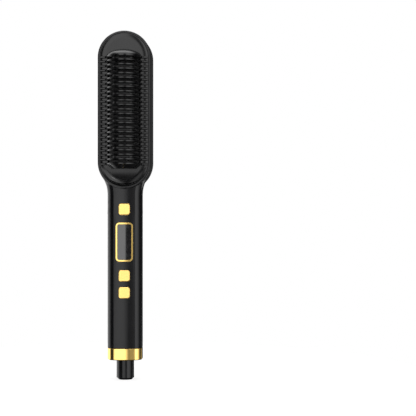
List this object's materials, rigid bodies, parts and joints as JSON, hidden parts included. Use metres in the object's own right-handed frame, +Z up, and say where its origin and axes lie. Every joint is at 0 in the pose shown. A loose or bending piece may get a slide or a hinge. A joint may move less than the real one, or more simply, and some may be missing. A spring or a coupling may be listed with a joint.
{
  "type": "hair straightener",
  "caption": "Heated straightening comb: upright handle with push buttons and display, oval head with a ribbed comb guard over a finned heater, gold trim and a swivelling cord entry.",
  "frame": {"origin": "centre of the cord entry's lower end, on the handle's long axis", "axes": "+Z up the handle to the head, -Y the way the comb, the display and the buttons face, +X to the right when seen from the front"},
  "size_m": [0.0444, 0.0474, 0.2824],
  "materials": {
    "shell_gloss": "black, polished moulding",
    "comb_gloss": "black heat resistant moulding, satin gloss",
    "panel_gloss": "black, polished, stepped",
    "trim_gold": "gold anodised, finely brushed",
    "ring_gold": "gold plated, brushed round the circumference",
    "key_gold": "gold anodised, satin",
    "gland_black": "black, polished moulding",
    "display_glass": "dark tinted, polished",
    "display_black": "black display module",
    "heater_coat": "dark ceramic coating",
    "element_ceramic": "white fired ceramic",
    "mica": "pressed mica sheet",
    "steel": "zinc plated",
    "contact_brass": "bare, drawn",
    "board_green": "glass fibre laminate with solder mask",
    "part_black": "black moulded component",
    "cap_yellow": "yellow film capacitor case",
    "disc_blue": "blue epoxy dip over ceramic",
    "fuse_ceramic": "buff ceramic tube",
    "plunger_white": "natural nylon",
    "lead_brown": "brown silicone insulation",
    "lead_blue": "blue silicone insulation",
    "lead_white": "white silicone insulation"
  },
  "bodies": {
    "body": {"front_shell": "shell_gloss", "rear_shell": "shell_gloss", "back_trim_ring": "trim_gold", "back_panel": "panel_gloss", "comb_guard": "comb_gloss", "heater_plate": "heater_coat", "display_frame": "key_gold", "display_window": "display_glass", "display_module": "display_black", "end_ring": "ring_gold", "end_cap": "gland_black", "contact_block": "part_black", "contact_spring_live": "contact_brass", "contact_spring_neutral": "contact_brass", "mains_lead_live": "lead_brown", "mains_lead_neutral": "lead_blue", "control_board": "board_green", "controller_chip": "part_black", "triac": "part_black", "film_capacitor": "cap_yellow", "electrolytic_capacitor": "part_black", "varistor": "disc_blue", "input_fuse": "fuse_ceramic", "power_switch": "part_black", "temperature_up_switch": "part_black", "temperature_down_switch": "part_black", "heater_element": "element_ceramic", "heater_insulation": "mica", "heater_clamp": "steel", "heater_screws": "steel", "clamp_screws": "steel", "board_screws": "steel", "shell_screws": "steel", "thermal_fuse": "steel", "fuse_link": "lead_brown", "thermistor": "fuse_ceramic", "thermistor_leads": "lead_white", "heater_lead_live": "lead_brown", "heater_lead_neutral": "lead_blue"},
    "power_button": {"power_button": "key_gold", "power_plunger": "plunger_white"},
    "temperature_up_button": {"temperature_up_button": "key_gold", "temperature_up_plunger": "plunger_white"},
    "temperature_down_button": {"temperature_down_button": "key_gold", "temperature_down_plunger": "plunger_white"},
    "swivel": {"swivel_gland": "gland_black", "swivel_clip": "steel", "slip_ring_live": "contact_brass", "slip_ring_neutral": "contact_brass"}
  },
  "joints": [
    {"name": "power_press", "type": "slide", "parent": "body", "child": "power_button", "axis": [0, 1, 0], "range_m": [0, 0.0004], "stiffness_N_per_m": 1500},
    {"name": "temperature_up_press", "type": "slide", "parent": "body", "child": "temperature_up_button", "axis": [0, 1, 0], "range_m": [0, 0.0004], "stiffness_N_per_m": 1500},
    {"name": "temperature_down_press", "type": "slide", "parent": "body", "child": "temperature_down_button", "axis": [0, 1, 0], "range_m": [0, 0.0004], "stiffness_N_per_m": 1500},
    {"name": "cord_swivel", "type": "hinge", "parent": "body", "child": "swivel", "pos_m": [0, 0, 0], "axis": [0, 0, 1], "continuous": true}
  ]
}
